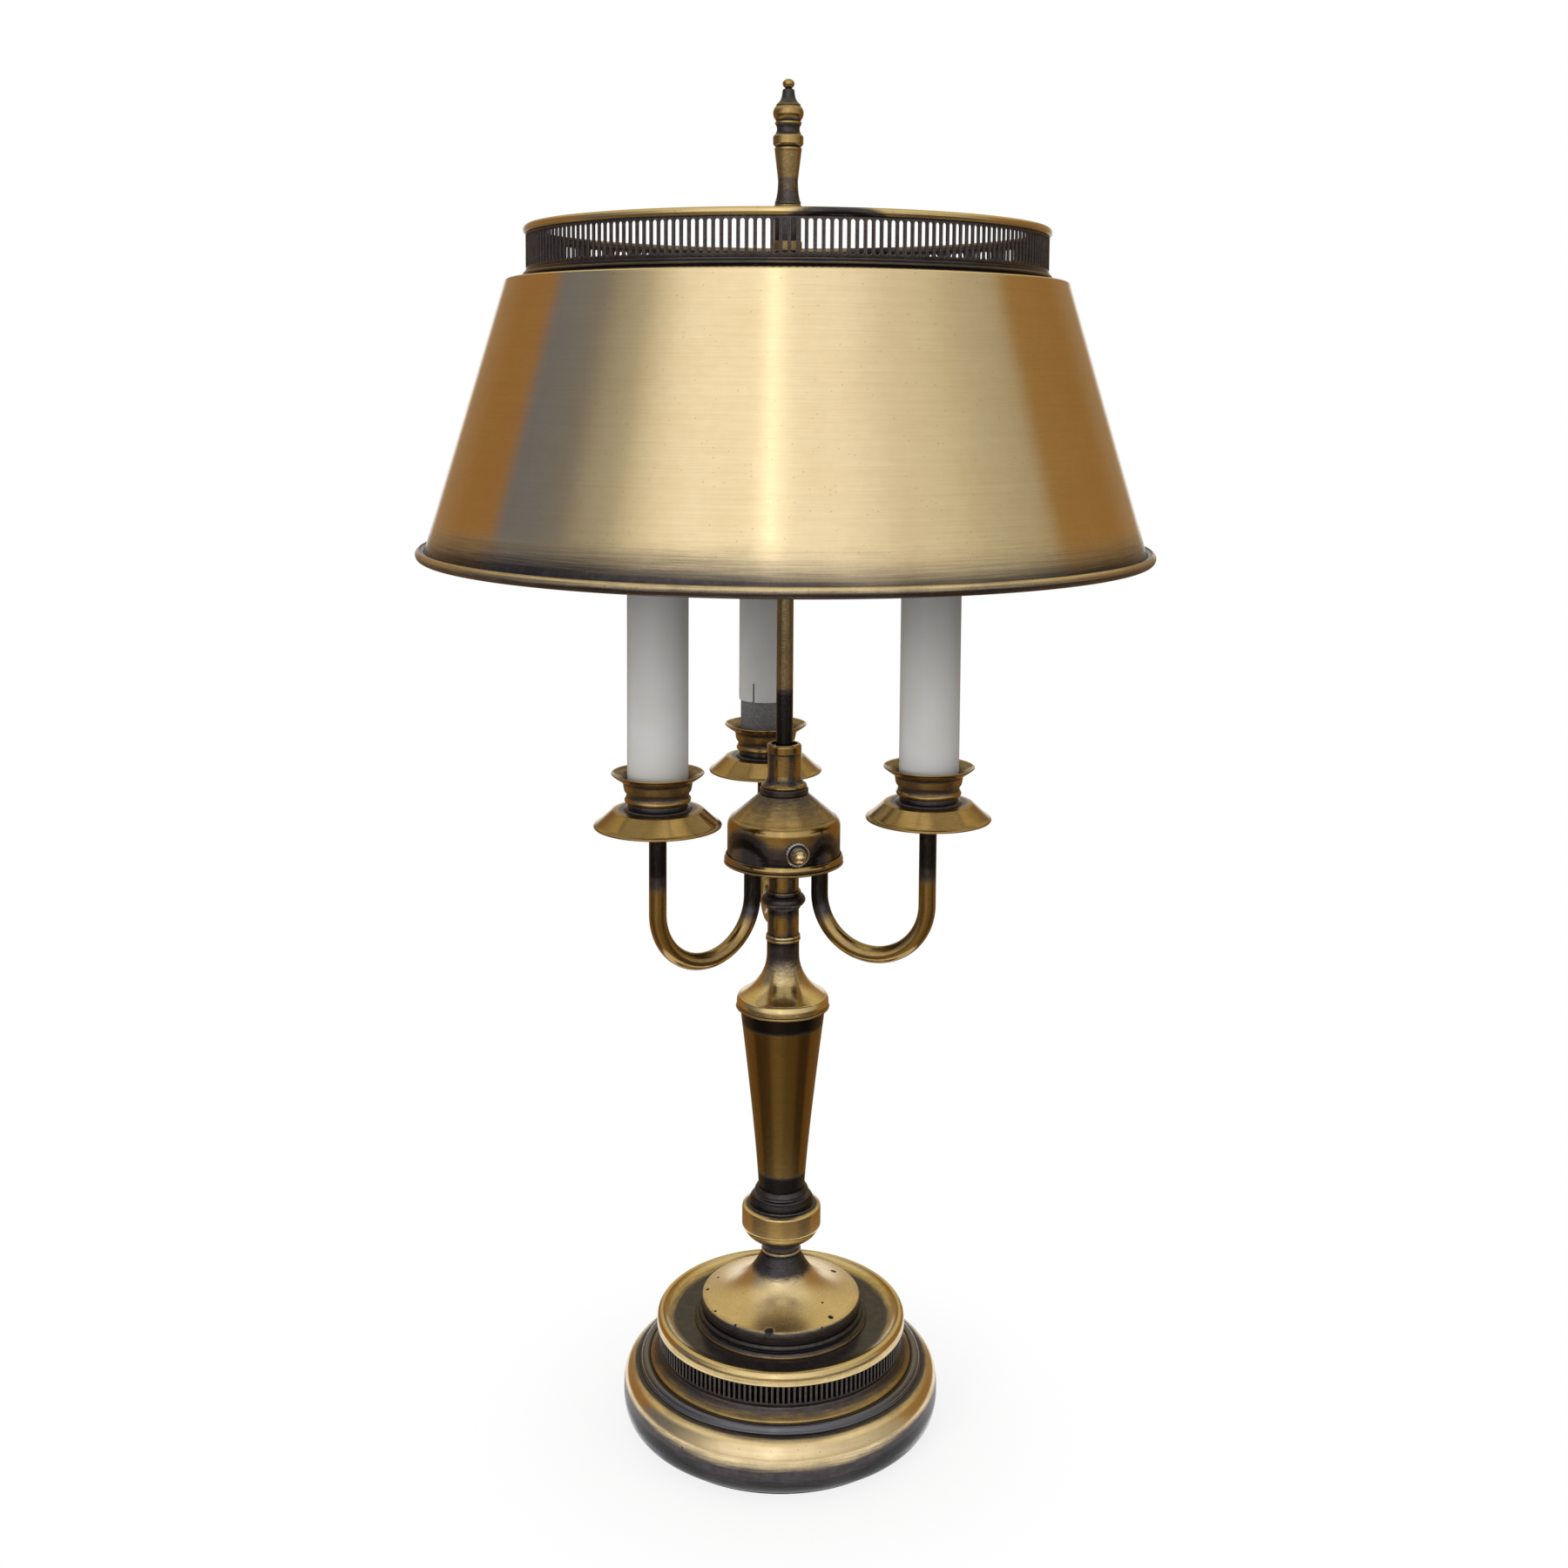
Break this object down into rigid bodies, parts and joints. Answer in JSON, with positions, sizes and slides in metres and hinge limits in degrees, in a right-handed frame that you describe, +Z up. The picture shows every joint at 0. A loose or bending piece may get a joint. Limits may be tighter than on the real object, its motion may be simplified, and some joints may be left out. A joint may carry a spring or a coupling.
{
  "type": "table lamp",
  "caption": "Brass table lamp with a conical metal shade under a pierced gallery, candle arms with drip pans and lifting sleeves, a push switch, and a turned column on a stepped round foot.",
  "frame": {"origin": "centre of the felt's underside", "axes": "+Z up along the column, -Y to the front, midway between the two front arms"},
  "size_m": [0.406, 0.406, 0.7619],
  "materials": {
    "felt": "felt",
    "board": "pressed fibre",
    "iron": "cast",
    "steel": "plated",
    "bushing": "moulded",
    "brass": "antique, brushed",
    "dark_brass": "antique, darkened",
    "patina": "oxidised brown",
    "socket": "moulded",
    "liner": "pressed fibre",
    "ivory": "satin",
    "lead": "insulated wire"
  },
  "bodies": {
    "stand": {"felt_pad": "felt", "base_board": "board", "base_weight": "iron", "base_foot": "brass", "cord_bushing": "bushing", "pipe_nuts": "steel", "pipe_washer": "steel", "lamp_pipe": "steel", "base_gallery": "patina", "drum_cap": "dark_brass", "bell_ring": "patina", "base_bell": "brass", "knop": "brass", "column": "dark_brass", "column_band": "brass", "vase_neck": "brass", "stem_tube": "dark_brass", "stem_bead": "patina", "stem_top": "dark_brass", "housing_pan": "dark_brass", "housing_dome": "brass", "crown_ring": "patina", "coupler": "dark_brass", "centre_rod": "brass", "shade_seat": "brass", "arm_left": "dark_brass", "arm_right": "dark_brass", "arm_back": "dark_brass", "arm_nuts": "steel", "pan_collars": "patina", "pan_left": "brass", "pan_right": "brass", "pan_back": "brass", "cup_necks": "patina", "cup_left": "brass", "cup_right": "brass", "cup_back": "brass", "cup_nuts": "steel", "socket_risers": "steel", "sockets": "socket", "screw_shells": "brass", "socket_contacts": "brass", "socket_liners": "liner", "arm_leads": "lead", "switch_body": "socket", "switch_bushing": "brass", "switch_nut": "brass"},
    "shade": {"shade_cone": "brass", "shade_step": "brass", "shade_rim": "dark_brass", "gallery_base": "patina", "gallery_band": "patina", "gallery_bead": "brass", "spider_hub": "patina", "spider_arms": "patina"},
    "finial": {"finial": "brass"},
    "switch_button": {"switch_button": "brass"},
    "sleeve_left": {"sleeve_left": "ivory"},
    "sleeve_right": {"sleeve_right": "ivory"},
    "sleeve_back": {"sleeve_back": "ivory"}
  },
  "joints": [
    {"name": "switch_press", "type": "slide", "parent": "stand", "child": "switch_button", "axis": [-0.0958, 0.9954, 0], "range_m": [0, 0.0025], "stiffness_N_per_m": 800, "springref_m": -0.00125},
    {"name": "shade_turn", "type": "hinge", "parent": "stand", "child": "shade", "pos_m": [0, 0, 0.6473], "axis": [0, 0, 1], "continuous": true},
    {"name": "finial_turn", "type": "hinge", "parent": "stand", "child": "finial", "pos_m": [0, 0, 0.6941], "axis": [0, 0, 1], "continuous": true},
    {"name": "sleeve_left_lift", "type": "slide", "parent": "stand", "child": "sleeve_left", "axis": [0, 0, 1], "range_m": [0, 0.1]},
    {"name": "sleeve_right_lift", "type": "slide", "parent": "stand", "child": "sleeve_right", "axis": [0, 0, 1], "range_m": [0, 0.1]},
    {"name": "sleeve_back_lift", "type": "slide", "parent": "stand", "child": "sleeve_back", "axis": [0, 0, 1], "range_m": [-0.024, 0.076]}
  ]
}
